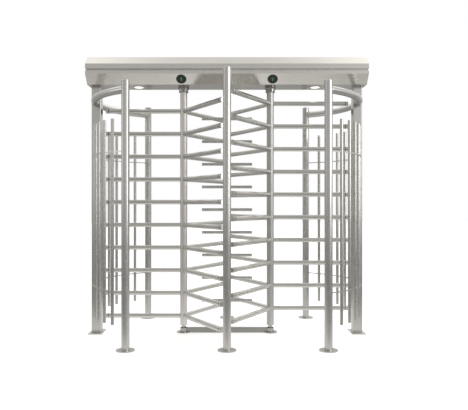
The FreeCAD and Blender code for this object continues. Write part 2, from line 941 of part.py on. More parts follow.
def downlight_body():
    rim_radius = downlight_body_radius + downlight_rim_width
    profile = [
        (downlight_lens_radius, -downlight_rim),
        (rim_radius - downlight_rim / 2, -downlight_rim),
        (rim_radius, -downlight_rim / 2),
        (rim_radius, 0),
        (downlight_body_radius, 0),
        (downlight_body_radius, downlight_body_height),
        (0, downlight_body_height),
        (0, downlight_lens_recess),
        (downlight_lens_radius, downlight_lens_recess),
    ]
    return turned(profile, Vector(downlight_offset, 0, header_underside))


def downlight_lens():
    base = Vector(downlight_offset, 0, header_underside - downlight_rim + downlight_lens_recess)
    return cylinder(downlight_lens_radius - fit_gap, downlight_rim, base)


def make_lights():
    places = (-indicator_offset, indicator_offset)
    save("indicator_housings", [indicator_housing(x) for x in places])
    save("indicator_lenses", [indicator_lens(x) for x in places])
    save("indicator_symbols", [indicator_symbol(x) for x in places])
    save("downlight_bodies", both_sides([downlight_body()]))
    save("downlight_lenses", both_sides([downlight_lens()]))


# ---- units on the chassis ----

def bracket_end():
    return solenoid_start + solenoid_length + bracket_end_rim


def bracket_half_width():
    return solenoid_width / 2 + bracket_rim


def foot_screw_points(z):
    reach = encoder_foot / 2 - foot_screw_inset
    points = [Vector(encoder_offset + i * reach, j * reach, z) for i in (-1, 1) for j in (-1, 1)]
    side = bracket_half_width() - foot_screw_inset
    ends = (bracket_start + guide_screw_inset, bracket_end() - foot_screw_inset)
    points += [Vector(rotor_offset + x, j * side, z) for x in ends for j in (-1, 1)]
    ear = (unit_length + unit_ear) / 2
    points += [Vector(unit_offset + i * ear, j * unit_screw_offset, z) for i in (-1, 1) for j in (-1, 1)]
    return both_points(points)


def foot_holes():
    return Part.makeCompound([cylinder(m5_radius + hole_gap / 2, foot_thickness, point)
                              for point in foot_screw_points(chassis_top)])


def encoder_bore_bottom():
    return foot_top + encoder_height + encoder_boss - encoder_bore_depth


def counter_encoder():
    x = encoder_offset
    half = encoder_foot / 2
    foot = block(x - half, x + half, -half, half, chassis_top, foot_top)
    body = cylinder(encoder_radius, encoder_height, Vector(x, 0, foot_top))
    boss = cylinder(encoder_boss_radius, encoder_boss, Vector(x, 0, foot_top + encoder_height))
    bore = cylinder(pinion_shaft_radius + fit_gap, encoder_bore_depth, Vector(x, 0, encoder_bore_bottom()))
    return foot.fuse(body).fuse(boss).cut(bore).cut(foot_holes()).removeSplitter()


def lock_bracket():
    x = rotor_offset
    half_width = bracket_half_width()
    foot = block(x + bracket_start, x + bracket_end(), -half_width, half_width, chassis_top, foot_top)
    guide_x = x + guide_start
    guide = block(guide_x, guide_x + guide_length, -guide_width / 2, guide_width / 2, foot_top,
                  bolt_height + 2 * bolt_radius)
    start = x + solenoid_start
    end = start + solenoid_length
    half_table = solenoid_width / 2
    table = block(start, end, -half_table, half_table, solenoid_bottom - foot_thickness, solenoid_bottom)
    web_start = start + web_inset_front
    web_end = end - web_inset_rear
    half_web = web_thickness / 2
    webs = [block(web_start, web_end, y - half_web, y + half_web, foot_top, solenoid_bottom - foot_thickness)
            for y in (-guide_width / 2, guide_width / 2)]
    bore = cylinder(bolt_radius + bolt_slide_gap, guide_length, Vector(guide_x, 0, bolt_height), ACROSS)
    shape = foot.fuse([guide, table] + webs).cut(bore)
    return shape.cut(foot_holes()).removeSplitter()


def lock_solenoid():
    start = rotor_offset + solenoid_start
    half = solenoid_width / 2
    solenoid_top = solenoid_bottom + solenoid_width
    body = block(start, start + solenoid_length, -half, half, solenoid_bottom, solenoid_top)
    bore = cylinder(bolt_radius + bolt_slide_gap, solenoid_bore_depth, Vector(start, 0, bolt_height), ACROSS)
    return body.cut(bore)


def chassis_unit(x, height):
    half = unit_length / 2
    deep = unit_depth / 2
    foot = block(x - half - unit_ear, x + half + unit_ear, -deep, deep, chassis_top, foot_top)
    body = block(x - half, x + half, -deep, deep, chassis_top, chassis_top + height)
    return foot.fuse(body).cut(foot_holes()).removeSplitter()


def make_units():
    save("counter_encoders", both_sides([counter_encoder()]))
    save("lock_brackets", both_sides([lock_bracket()]))
    save("lock_solenoids", both_sides([lock_solenoid()]))
    save("controller_box", [chassis_unit(-unit_offset, controller_height)])
    save("power_supply", [chassis_unit(unit_offset, supply_height)])


# ---- fasteners ----

def socket_screw(point, radius, head_radius, head_height, length):
    """A socket head screw with its head standing on point and its shank below it."""
    shank = radius - fit_gap
    profile = [
        (0, -length),
        (shank, -length),
        (shank, 0),
        (head_radius, 0),
        (head_radius, head_height),
        (0, head_height),
    ]
    corners = around(6, radius * socket_share, 0, point + UP * (head_height / 2))
    socket = Part.Face(Part.makePolygon(corners + corners[:1])).extrude(UP * head_height)
    return turned(profile, point).cut(socket)


def make_fasteners():
    through = chassis_top - header_underside
    long_shank = through + thread_engagement
    m8_points = both_points(collar_bolt_points(chassis_top)) + saddle_bolt_points(chassis_top)
    save("m8_screws", [socket_screw(p, m8_radius, m8_head_radius, m8_head_height, long_shank)
                       for p in m8_points])
    m10_points = both_points(side_post_bolt_points(chassis_top))
    save("m10_screws", [socket_screw(p, m10_radius, m10_head_radius, m10_head_height, long_shank)
                        for p in m10_points])
    shank = foot_thickness + chassis_thickness - axial_gap
    save("m5_screws", [socket_screw(p, m5_radius, m5_head_radius, m5_head_height, shank)
                       for p in foot_screw_points(foot_top)])


# ---- rotors ----

def arm_directions(side):
    """Level directions of one layer's arms: the first points away from the other rotor."""
    first = 0 if side > 0 else math.pi
    angles = [first + 2 * math.pi * i / arms_per_layer for i in range(arms_per_layer)]
    return [Vector(math.cos(a), math.sin(a), 0) for a in angles]


def layer_heights(side):
    first = first_layer if side > 0 else first_layer - level_step
    return [first + layer_pitch * i for i in range(arm_layers)]


def rotor_arm(center, direction):
    start = column_radius / 2
    length = arm_reach - arm_cap_length - start
    arm = tube(arm_radius, arm_wall, length, center + direction * start, direction)
    return arm.cut(cylinder(column_radius, 4 * arm_radius, center - UP * (2 * arm_radius)))


def arm_end_cap(center, direction):
    spigot = arm_radius - arm_wall - fit_gap
    groove = arm_radius - arm_cap_groove
    profile = [
        (0, -arm_cap_spigot),
        (spigot, -arm_cap_spigot),
        (spigot, 0),
        (groove, 0),
        (groove, arm_cap_groove),
        (arm_radius, arm_cap_groove),
        (arm_radius, arm_cap_length - arm_cap_groove),
        (arm_radius - arm_cap_groove, arm_cap_length),
        (arm_cap_recess_radius, arm_cap_length),
        (arm_cap_recess_radius, arm_cap_length - arm_cap_recess_depth),
        (0, arm_cap_length - arm_cap_recess_depth),
    ]
    return turned(profile, center + direction * (arm_reach - arm_cap_length), direction)


def lower_stub(x):
    profile = [
        (0, stub_end),
        (lower_bearing_bore - fit_gap, stub_end),
        (lower_bearing_bore - fit_gap, lower_bearing_top + axial_gap),
        (lower_bearing_bore + journal_shoulder, lower_bearing_top + axial_gap),
        (lower_bearing_bore + journal_shoulder, pivot_housing_top + seal_height),
        (stub_radius, pivot_housing_top + seal_height),
        (stub_radius, column_bottom),
        (column_bore - fit_gap, column_bottom),
        (column_bore - fit_gap, column_bottom + column_radius),
        (0, column_bottom + column_radius),
    ]
    return turned(profile, Vector(x, 0, 0))


def upper_shaft(x):
    journal = upper_bearing_bore - fit_gap
    seat = gear_seat_radius - fit_gap
    thread = thread_radius - fit_gap
    profile = [
        (0, column_top - column_radius),
        (column_bore - fit_gap, column_top - column_radius),
        (column_bore - fit_gap, column_top),
        (upper_bearing_bore + journal_shoulder, column_top),
        (upper_bearing_bore + journal_shoulder, upper_bearing_bottom - axial_gap),
        (journal, upper_bearing_bottom - axial_gap),
        (journal, gear_height),
        (seat, gear_height),
        (seat, disc_top),
        (thread, disc_top),
        (thread, disc_top + thread_length),
        (0, disc_top + thread_length),
    ]
    return turned(profile, Vector(x, 0, 0))


def tooth_half_angle(radius, teeth):
    """Half the angle that an involute tooth spans at a radius, thinned by its share of the backlash."""
    pitch_radius = gear_module * teeth / 2
    base_radius = pitch_radius * math.cos(pressure_angle)
    at_pitch = (math.pi * gear_module / 2 - gear_backlash / 2) / (2 * pitch_radius)
    turn = math.acos(min(1, base_radius / radius))
    return at_pitch + (math.tan(pressure_angle) - pressure_angle) - (math.tan(turn) - turn)


def polar(radius, angle):
    return Vector(radius * math.cos(angle), radius * math.sin(angle), 0)


def gear_blank(teeth, thickness, first_tooth):
    """A spur gear about the origin with one tooth centred on the angle first_tooth."""
    pitch_radius = gear_module * teeth / 2
    tip = pitch_radius + gear_module
    root = pitch_radius - dedendum * gear_module
    flank_start = max(root, pitch_radius * math.cos(pressure_angle) + tooth_foot_gap)
    flank = [flank_start, (flank_start + tip) / 2, tip]
    half = [tooth_half_angle(radius, teeth) for radius in flank]
    step = 2 * math.pi / teeth
    edges = []
    for i in range(teeth):
        middle = first_tooth + i * step
        rise = [polar(r, middle - h) for r, h in zip(flank, half)]
        fall = [polar(r, middle + h) for r, h in zip(flank, half)][::-1]
        foot_in = polar(root, middle - half[0])
        foot_out = polar(root, middle + half[0])
        next_foot = polar(root, middle + step - half[0])
        if flank_start > root:
            edges.append(Part.makeLine(foot_in, rise[0]))
        edges.append(Part.Arc(*rise).toShape())
        edges.append(Part.Arc(rise[-1], polar(tip, middle), fall[0]).toShape())
        edges.append(Part.Arc(*fall).toShape())
        if flank_start > root:
            edges.append(Part.makeLine(fall[-1], foot_out))
        edges.append(Part.Arc(foot_out, polar(root, middle + step / 2), next_foot).toShape())
    return Part.Face(Part.Wire(edges)).extrude(UP * thickness)


def drive_gear(side):
    toward_pinion = math.pi if side > 0 else 0
    gear = gear_blank(gear_teeth, gear_thickness, toward_pinion)
    hub = cylinder(hub_radius, hub_height, UP * gear_thickness)
    bore = cylinder(gear_seat_radius, gear_thickness + hub_height, ORIGIN)
    gear = gear.fuse(hub).cut(bore)
    gear.translate(Vector(side * rotor_offset, 0, gear_height))
    return gear


def counter_pinion(side):
    toward_gear = 0 if side > 0 else math.pi
    thickness = gear_thickness + 2 * pinion_extra
    pinion = gear_blank(pinion_teeth, thickness, toward_gear + math.pi / pinion_teeth)
    shaft_bottom = encoder_bore_bottom() + pinion_shaft_gap
    pinion_bottom = gear_height - pinion_extra
    shaft = cylinder(pinion_shaft_radius, pinion_bottom - shaft_bottom, UP * (shaft_bottom - pinion_bottom))
    pinion = pinion.fuse(shaft)
    pinion.translate(Vector(side * encoder_offset, 0, pinion_bottom))
    return pinion


def lock_disc(side):
    disc = cylinder(lock_disc_radius, lock_disc_thickness, ORIGIN)
    cuts = [cylinder(gear_seat_radius, lock_disc_thickness, ORIGIN)]
    for i in range(lock_notches):
        notch = block(notch_bottom, bolt_start, -notch_width / 2, notch_width / 2, 0, lock_disc_thickness)
        notch.rotate(ORIGIN, UP, 360 / lock_notches * i)
        cuts.append(notch)
    lightening_circle = (hub_radius + notch_bottom) / 2
    cuts += [cylinder(lightening_radius, lock_disc_thickness, point)
             for point in around(lock_notches, lightening_circle, math.pi / lock_notches, ORIGIN)]
    disc = disc.cut(Part.makeCompound(cuts))
    disc.translate(Vector(side * rotor_offset, 0, disc_bottom))
    return disc


def shaft_nut(side):
    base = Vector(side * rotor_offset, 0, disc_top)
    corners = around(6, nut_flats / math.sqrt(3), 0, base)
    nut = Part.Face(Part.makePolygon(corners + corners[:1])).extrude(UP * nut_height)
    return nut.cut(cylinder(thread_radius, nut_height, base))


def lock_bolt(side):
    collar = solenoid_start - bolt_start - bolt_rest_gap - bolt_collar
    profile = [
        (0, 0),
        (bolt_radius - bolt_nose, 0),
        (bolt_radius, bolt_nose),
        (bolt_radius, collar),
        (bolt_collar_radius, collar),
        (bolt_collar_radius, collar + bolt_collar),
        (bolt_radius, collar + bolt_collar),
        (bolt_radius, bolt_length),
        (0, bolt_length),
    ]
    return turned(profile, Vector(side * (rotor_offset + bolt_start), 0, bolt_height), ACROSS * side)


def make_rotor(name, side):
    x = side * rotor_offset
    layers = [Vector(x, 0, z) for z in layer_heights(side)]
    directions = arm_directions(side)
    column = tube(column_radius, column_wall, column_top - column_bottom, Vector(x, 0, column_bottom))
    save(name + "_rotor_column", [column])
    save(name + "_rotor_arms", [rotor_arm(center, d) for center in layers for d in directions])
    save(name + "_arm_end_caps", [arm_end_cap(center, d) for center in layers for d in directions])
    save(name + "_lower_stub", [lower_stub(x)])
    save(name + "_upper_shaft", [upper_shaft(x)])
    save(name + "_drive_gear", [drive_gear(side)])
    save(name + "_lock_disc", [lock_disc(side)])
    save(name + "_shaft_nut", [shaft_nut(side)])
    save(name + "_counter_pinion", [counter_pinion(side)])
    save(name + "_lock_bolt", [lock_bolt(side)])


os.makedirs("parts", exist_ok=True)
make_posts()
make_side_posts()
make_comb(make_cage())
make_tie()
make_lower_pivots()
make_top_collars()
make_header()
make_lights()
make_units()
make_fasteners()
make_rotor("left", -1)
make_rotor("right", 1)
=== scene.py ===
import bpy
import bmesh
import json
import math
from mathutils import Matrix, Vector


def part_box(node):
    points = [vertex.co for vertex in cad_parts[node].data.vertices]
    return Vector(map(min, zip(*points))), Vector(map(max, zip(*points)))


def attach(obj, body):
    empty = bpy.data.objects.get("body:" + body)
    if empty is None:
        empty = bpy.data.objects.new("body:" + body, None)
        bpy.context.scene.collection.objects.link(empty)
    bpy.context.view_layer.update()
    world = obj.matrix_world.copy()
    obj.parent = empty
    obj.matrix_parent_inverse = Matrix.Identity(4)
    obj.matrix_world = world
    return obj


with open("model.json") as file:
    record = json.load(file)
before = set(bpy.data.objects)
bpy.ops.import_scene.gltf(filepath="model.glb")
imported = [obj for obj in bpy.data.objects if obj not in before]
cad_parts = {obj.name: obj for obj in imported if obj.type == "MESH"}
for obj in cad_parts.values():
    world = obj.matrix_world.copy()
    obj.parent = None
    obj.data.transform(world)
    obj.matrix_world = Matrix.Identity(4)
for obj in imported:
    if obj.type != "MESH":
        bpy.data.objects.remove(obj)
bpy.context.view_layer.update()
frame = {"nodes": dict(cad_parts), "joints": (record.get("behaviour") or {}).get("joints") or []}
print("frame loaded:", len(frame["nodes"]), "nodes")

jointPlace = {joint["name"]: Vector(joint.get("pos_m", (0, 0, 0))) for joint in frame["joints"]}
rotorOffset = jointPlace["right_rotor_spin"].x
up = Vector((0, 0, 1))
alongDepth = Vector((0, 1, 0))


class Signal:
    def __init__(self, paint, socket):
        self.paint = paint
        self.socket = socket

    def maths(self, operation, *values):
        return self.paint.node("ShaderNodeMath", {"operation": operation}, dict(enumerate(values)))

    def __add__(self, other):
        return self.maths("ADD", self, other)

    def __radd__(self, other):
        return self.maths("ADD", other, self)

    def __sub__(self, other):
        return self.maths("SUBTRACT", self, other)

    def __rsub__(self, other):
        return self.maths("SUBTRACT", other, self)

    def __mul__(self, other):
        return self.maths("MULTIPLY", self, other)

    def __rmul__(self, other):
        return self.maths("MULTIPLY", other, self)

    def __lt__(self, other):
        return self.maths("LESS_THAN", self, other)

    def __abs__(self):
        return self.maths("ABSOLUTE", self)

    def root(self):
        return self.maths("SQRT", self)

    def sine(self):
        return self.maths("SINE", self)

    def cosine(self):
        return self.maths("COSINE", self)

    def angleFrom(self, other):
        return self.maths("ARCTAN2", self, other)

    def wrapped(self, high, low):
        return self.maths("WRAP", self, high, low)

    def held(self, low, high):
        return self.paint.node("ShaderNodeClamp", {}, {"Value": self, "Min": low, "Max": high})

    def spread(self, low, high, newLow, newHigh):
        return self.paint.node("ShaderNodeMapRange", {"clamp": True},
                               {"Value": self, "From Min": low, "From Max": high, "To Min": newLow,
                                "To Max": newHigh})

    def smoothStep(self, low, high):
        return self.paint.node("ShaderNodeMapRange", {"interpolation_type": "SMOOTHSTEP"},
                               {"Value": self, "From Min": low, "From Max": high})


class Paint:
    def __init__(self, tree):
        self.tree = tree
        tree.nodes.clear()

    def node(self, kind, settings, inputs, output=0):
        made = self.tree.nodes.new(kind)
        for key, value in settings.items():
            setattr(made, key, value)
        for key, value in inputs.items():
            if isinstance(value, Signal):
                self.tree.links.new(value.socket, made.inputs[key])
            else:
                made.inputs[key].default_value = value
        return Signal(self, made.outputs[output]) if made.outputs else None

    def place(self):  # the point's own x, y and z, in metres
        spot = self.node("ShaderNodeTexCoord", {}, {}, "Object")
        return [self.node("ShaderNodeSeparateXYZ", {}, {0: spot}, axis) for axis in range(3)]

    def vector(self, x, y, z):
        return self.node("ShaderNodeCombineXYZ", {}, {0: x, 1: y, 2: z})

    def noise(self, vector, scale, detail=2.0, roughness=0.5):
        return self.node("ShaderNodeTexNoise", {}, {"Vector": vector, "Scale": scale, "Detail": detail,
                                                    "Roughness": roughness})

    def mix(self, factor, first, second):
        return self.node("ShaderNodeMix", {"data_type": "RGBA"}, {0: factor, 6: first, 7: second}, 2)

    def bump(self, height, strength, distance):
        return self.node("ShaderNodeBump", {}, {"Height": height, "Strength": strength, "Distance": distance})

    def surface(self, sockets):
        shader = self.node("ShaderNodeBsdfPrincipled", {}, sockets)
        self.node("ShaderNodeOutputMaterial", {}, {"Surface": shader})


def newPaint(name):
    material = bpy.data.materials.new(name)
    material.use_nodes = True
    return material, Paint(material.node_tree)


def color(red, green, blue):
    return (red, green, blue, 1.0)


# the grain functions give one coordinate along the grain and two across it

def uprightGrain(paint):
    x, y, z = paint.place()
    return z, x, y


def crossGrain(paint):
    x, y, z = paint.place()
    return x, y, z


def depthGrain(paint):
    x, y, z = paint.place()
    return y, x, z


def ringGrain(paint):  # round each rotor axis, mirrored on the left
    x, y, z = paint.place()
    out = abs(x) - rotorOffset
    reach = (out * out + y * y).root()
    return y.angleFrom(out) * 0.7, reach, z


def armGrain(side):  # along the three arms of a layer
    def flow(paint):
        x, y, z = paint.place()
        out = x * side - rotorOffset
        reach = (out * out + y * y).root()
        turn = y.angleFrom(out).wrapped(math.pi / 3, -math.pi / 3)
        return reach * turn.cosine(), reach * turn.sine(), z
    return flow


def plateGrain(spacing, depth):  # turned rings round each post's own axis
    def flow(paint):
        x, y, z = paint.place()
        out = x.wrapped(spacing / 2, -spacing / 2)
        deep = abs(y) - depth
        return z * 0.2, (out * out + deep * deep).root(), z
    return flow


steelLook = {
    "base": (0.66, 0.65, 0.63),
    "shade": (0.60, 0.59, 0.57),
    "rough": 0.27,
    "roughSpread": 0.07,
    "grain": 2600.0,
    "streak": 220.0,
    "grainStretch": 0.012,
    "bump": 0.07,
    "bumpDepth": 0.0006,
    "cloud": 6.0,
    "smudge": 23.0,
    "smudgeRough": 0.05,
}


def steel(name, flow, changes=None):
    look = {**steelLook, **(changes or {})}
    material, paint = newPaint(name)
    length, first, second = flow(paint)
    stretch = look["grainStretch"]
    fine = paint.noise(paint.vector(length * stretch, first, second), look["grain"], 3.0, 0.6)
    streak = paint.noise(paint.vector(length * stretch * 2.0, first, second), look["streak"], 2.0, 0.55)
    x, y, z = paint.place()
    cloud = paint.noise(paint.vector(x, y, z), look["cloud"], 3.0, 0.55)
    smudge = paint.noise(paint.vector(x + 3.1, y, z), look["smudge"], 2.0, 0.6).smoothStep(0.55, 0.72)
    tone = streak * 0.55 + cloud * 0.45
    base = paint.mix(tone.spread(0.32, 0.68, 0.0, 1.0), color(*look["shade"]), color(*look["base"]))
    half = look["roughSpread"] / 2
    rough = (fine.spread(0.3, 0.7, look["rough"] - half, look["rough"] + half)
             + cloud.spread(0.3, 0.7, -0.03, 0.03) + smudge * look["smudgeRough"])
    paint.surface({
        "Base Color": base,
        "Metallic": 1.0,
        "Roughness": rough.held(0.08, 0.9),
        "Normal": paint.bump(fine * 0.7 + streak * 0.3, look["bump"], look["bumpDepth"]),
    })
    return material


def weldSteel(name):  # rippled bead with a faint straw tint
    material, paint = newPaint(name)
    x, y, z = paint.place()
    ripple = paint.noise(paint.vector(x, y, z), 700.0, 2.0, 0.5)
    tint = paint.noise(paint.vector(x, y, z), 90.0, 2.0, 0.5)
    paint.surface({
        "Base Color": paint.mix(tint.spread(0.4, 0.65, 0.0, 1.0), color(0.58, 0.57, 0.55),
                                color(0.55, 0.50, 0.43)),
        "Metallic": 1.0,
        "Roughness": ripple.spread(0.3, 0.7, 0.26, 0.42),
        "Normal": paint.bump(ripple, 0.5, 0.0012),
    })
    return material


def rubber(name):
    material, paint = newPaint(name)
    x, y, z = paint.place()
    speckle = paint.noise(paint.vector(x, y, z), 900.0, 3.0, 0.6)
    cloud = paint.noise(paint.vector(x, y, z), 60.0, 2.0, 0.5)
    paint.surface({
        "Base Color": paint.mix(cloud, color(0.012, 0.012, 0.012), color(0.032, 0.031, 0.030)),
        "Roughness": speckle.spread(0.3, 0.7, 0.55, 0.75),
        "Normal": paint.bump(speckle, 0.25, 0.0004),
    })
    return material


def coated(name, base, rough, metallic=0.0, grain=1400.0, emission=None):
    material, paint = newPaint(name)
    x, y, z = paint.place()
    peel = paint.noise(paint.vector(x, y, z), grain, 2.0, 0.5)
    cloud = paint.noise(paint.vector(x, y, z), 25.0, 3.0, 0.5)
    darker = [value * 0.86 for value in base]
    sockets = {
        "Base Color": paint.mix(cloud.spread(0.35, 0.65, 0.0, 1.0), color(*darker), color(*base)),
        "Metallic": metallic,
        "Roughness": (peel * 0.10 + cloud * 0.08 + (rough - 0.09)).held(0.05, 0.95),
        "Normal": paint.bump(peel, 0.15, 0.0004),
    }
    if emission:
        sockets["Emission Color"] = color(*emission[:3])
        sockets["Emission Strength"] = emission[3]
    paint.surface(sockets)
    return material


def lens(name, spacing):  # dark lens over a grid of small lamps
    material, paint = newPaint(name)
    x, y, z = paint.place()
    row = z.wrapped(spacing / 2, -spacing / 2)
    column = x.wrapped(spacing / 2, -spacing / 2)
    dot = (row * row + column * column).root() < spacing * 0.28
    cloud = paint.noise(paint.vector(x, y, z), 300.0, 2.0, 0.5)
    paint.surface({
        "Base Color": paint.mix(dot, color(0.003, 0.016, 0.008), color(0.010, 0.042, 0.020)),
        "Roughness": cloud.spread(0.3, 0.7, 0.24, 0.34),
    })
    return material


print("finishes ready")
armLook = {"base": (0.76, 0.75, 0.72), "shade": (0.70, 0.69, 0.66), "rough": 0.20}
material = {
    "upright": steel("uprightSteel", uprightGrain),
    "cross": steel("crossSteel", crossGrain),
    "depth": steel("depthSteel", depthGrain),
    "ring": steel("ringSteel", ringGrain, {"base": (0.76, 0.75, 0.73), "shade": (0.70, 0.69, 0.67)}),
    # the two rotor columns share one steel: the left copy is painted lighter (painted light) and the right
    # copy darker (painted shade), not a real finish difference
    "paintedLightLeftColumn": steel("paintedLightLeftColumnSteel", uprightGrain, {"base": (0.84, 0.82, 0.80),
                                                          "shade": (0.77, 0.75, 0.73), "rough": 0.40}),
    "paintedShadeRightColumn": steel("paintedShadeRightColumnSteel", uprightGrain, {"base": (0.64, 0.63, 0.61),
                                                            "shade": (0.56, 0.55, 0.53), "rough": 0.40}),
    "collar": steel("collarSteel", crossGrain, {"base": (0.54, 0.52, 0.50), "shade": (0.44, 0.42, 0.41),
                                                "rough": 0.20}),
    # the bottom beam's steel is made much darker than the other steel: painted shade, not a darker finish
    "beam": steel("paintedShadeBeamSteel", crossGrain, {"base": (0.38, 0.38, 0.36), "shade": (0.31, 0.31, 0.29),
                                            "rough": 0.34}),
    "leftArm": steel("leftArmSteel", armGrain(-1), armLook),
    "rightArm": steel("rightArmSteel", armGrain(1), armLook),
    "sheet": steel("sheetSteel", crossGrain, {"rough": 0.22, "bump": 0.03, "base": (0.75, 0.73, 0.69),
                                             "shade": (0.71, 0.69, 0.65), "streak": 90.0}),
    "rubber": rubber("blackRubber"),
    "groove": coated("darkGroove", (0.60, 0.59, 0.57), 0.45, 0.8),
    "bezel": coated("indicatorBezel", (0.012, 0.022, 0.016), 0.34),
    "zinc": coated("zincPlate", (0.52, 0.53, 0.55), 0.34, 1.0, 700.0),
    "ground": coated("groundSteel", (0.56, 0.56, 0.57), 0.20, 1.0, 2200.0),
    "oiled": coated("oiledSteel", (0.36, 0.36, 0.37), 0.30, 1.0, 1600.0),
    "brass": coated("machinedBrass", (0.68, 0.52, 0.24), 0.25, 1.0, 1800.0),
    "lampBody": coated("lampBody", (0.78, 0.78, 0.76), 0.4),
    "lampGlow": coated("lampDiffuser", (0.92, 0.92, 0.90), 0.5, 0.0, 900.0, (1.0, 0.99, 0.96, 1.6)),
    "unitMetal": coated("unitAluminium", (0.60, 0.61, 0.62), 0.36, 1.0, 900.0),
    "unitPaint": coated("unitPaint", (0.22, 0.25, 0.27), 0.45, 0.0, 1100.0),
    "coil": coated("coilPlastic", (0.035, 0.035, 0.036), 0.5, 0.0, 1500.0),
    "lens": lens("indicatorLens", 0.0035),
    "symbol": coated("indicatorSymbol", (0.08, 0.17, 0.10), 0.4, 0.0, 900.0, (0.20, 0.55, 0.30, 0.10)),
}

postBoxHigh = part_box("post_base_plates")[1]
plateRadius = 0.070
postSpacing = postBoxHigh.x - plateRadius
postDepth = postBoxHigh.y - plateRadius
material["plate"] = steel("turnedPlateSteel", plateGrain(postSpacing, postDepth), {"rough": 0.30})

nodeFinish = {
    "upright": ["outer_posts", "center_posts", "side_posts", "cage_bars", "bar_caps"],
    "paintedLightLeftColumn": ["left_rotor_column"],
    "paintedShadeRightColumn": ["right_rotor_column"],
    "collar": ["top_collars", "lower_pivot_housings"],
    "plate": ["post_base_plates", "post_caps"],
    "cross": ["comb_cross_bars", "side_post_base_plates", "side_post_cap_plates",
              "tie_tube_saddle"],
    "beam": ["bottom_beam"],
    "bezel": ["indicator_housings"],
    "depth": ["comb_long_bars", "top_tie_tube"],
    "ring": ["top_rings", "cage_hoops"],
    "leftArm": ["left_rotor_arms", "left_arm_end_caps"],
    "rightArm": ["right_rotor_arms", "right_arm_end_caps"],
    "sheet": ["header_pan", "header_fascia", "header_lid"],
    "groove": ["header_groove_rail"],
    "zinc": ["header_chassis", "lock_brackets", "m5_screws", "m8_screws", "m10_screws", "left_shaft_nut",
             "right_shaft_nut"],
    "rubber": ["side_post_grommets", "lower_seals"],
    "ground": ["lower_bearings", "upper_bearings", "left_lower_stub", "right_lower_stub", "left_upper_shaft",
               "right_upper_shaft", "left_lock_bolt", "right_lock_bolt"],
    "oiled": ["left_drive_gear", "right_drive_gear", "left_lock_disc", "right_lock_disc"],
    "brass": ["left_counter_pinion", "right_counter_pinion"],
    "lampBody": ["downlight_bodies"],
    "lampGlow": ["downlight_lenses"],
    "unitMetal": ["counter_encoders", "power_supply"],
    "unitPaint": ["controller_box"],
    "coil": ["lock_solenoids"],
    "lens": ["indicator_lenses"],
    "symbol": ["indicator_symbols"],
}
for finish, nodes in nodeFinish.items():
    for node in nodes:
        slots = frame["nodes"][node].data.materials
        slots.clear()
        slots.append(material[finish])
print("CAD nodes painted:", sum(len(nodes) for nodes in nodeFinish.values()))


weldSize = {
    "bead": 0.0022,
    "sides": 6,
    "steps": 24,
    "tackLength": 0.009,
    "tackWidth": 0.0032,
    "tackOut": 0.88,
    "tackAside": 0.69,
}
tubeSize = {
    "post": 0.030,
    "ring": 0.0285,
    "tie": 0.0285,
    "arm": 0.019,
    "column": 0.030,
    "long": 0.016,
    "bar": 0.0125,
    "hoop": 0.008,
    "plate": 0.008,
    "sidePost": 0.080,
    "sideCorner": 0.008,
}
layout = {
    "armLayers": 10,
    "armsPerLayer": 3,
    "barFirstAngle": 12.5,
    "barLastGap": 11.0,
    "barsPerQuarter": 5,
    "barOutset": 0.001,
}


def beadRing(radius, bead=weldSize["bead"]):  # a bead round the local Z axis
    made = bmesh.new()
    section = Matrix.Translation((radius, 0, 0)) @ Matrix.Rotation(math.radians(90), 4, "X")
    bmesh.ops.create_circle(made, cap_ends=False, segments=weldSize["sides"], radius=bead, matrix=section)
    bmesh.ops.spin(made, geom=made.verts[:] + made.edges[:], cent=(0, 0, 0), axis=(0, 0, 1), dvec=(0, 0, 0),
                   angle=2 * math.pi, steps=weldSize["steps"], use_merge=True, use_normal_flip=False,
                   use_duplicate=False)
    bmesh.ops.remove_doubles(made, verts=made.verts, dist=1e-6)
    bmesh.ops.recalc_face_normals(made, faces=made.faces)
    return made


def saddleBead(radius, seatRadius):  # the bead of a tube that lands square on a round seat along local Y
    made = beadRing(radius)
    for vert in made.verts:
        vert.co.z += math.sqrt(max(0.0, seatRadius ** 2 - vert.co.x ** 2))
    return made


def squareBead(half, corner):
    made = beadRing(corner)
    halfStep = Matrix.Rotation(math.pi / weldSize["steps"], 3, "Z")
    bmesh.ops.rotate(made, verts=made.verts, cent=(0, 0, 0), matrix=halfStep)
    for vert in made.verts:
        vert.co.x += math.copysign(half - corner, vert.co.x)
        vert.co.y += math.copysign(half - corner, vert.co.y)
    return made


def tackBead():
    made = bmesh.new()
    bmesh.ops.create_icosphere(made, subdivisions=2, radius=1.0)
    scale = (weldSize["tackWidth"], weldSize["tackWidth"], weldSize["tackLength"] / 2)
    bmesh.ops.scale(made, vec=scale, verts=made.verts)
    return made


def facing(place, direction, side):  # local Z turned along direction and local Y along side
    z = Vector(direction).normalized()
    y = Vector(side)
    return Matrix.Translation(place) @ Matrix((y.cross(z), y, z)).transposed().to_4x4()


def makePiece(name, batches, body, finish):
    whole = bmesh.new()
    for pattern, places in batches:
        shape = bpy.data.meshes.new("pattern")
        pattern.to_mesh(shape)
        pattern.free()
        for place in places:
            count = len(whole.verts)
            whole.from_mesh(shape)
            whole.verts.ensure_lookup_table()
            bmesh.ops.transform(whole, matrix=place, verts=whole.verts[count:])
        bpy.data.meshes.remove(shape)
    bmesh.ops.recalc_face_normals(whole, faces=whole.faces)
    data = bpy.data.meshes.new(name)
    whole.to_mesh(data)
    whole.free()
    for face in data.polygons:
        face.use_smooth = True
    data.materials.append(finish)
    piece = bpy.data.objects.new(name, data)
    bpy.context.scene.collection.objects.link(piece)
    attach(piece, body)


def levels(node, radius, count):  # the heights of evenly spaced level bars
    lowest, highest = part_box(node)
    step = (highest.z - lowest.z - 2 * radius) / (count - 1)
    return [lowest.z + radius + step * i for i in range(count)]


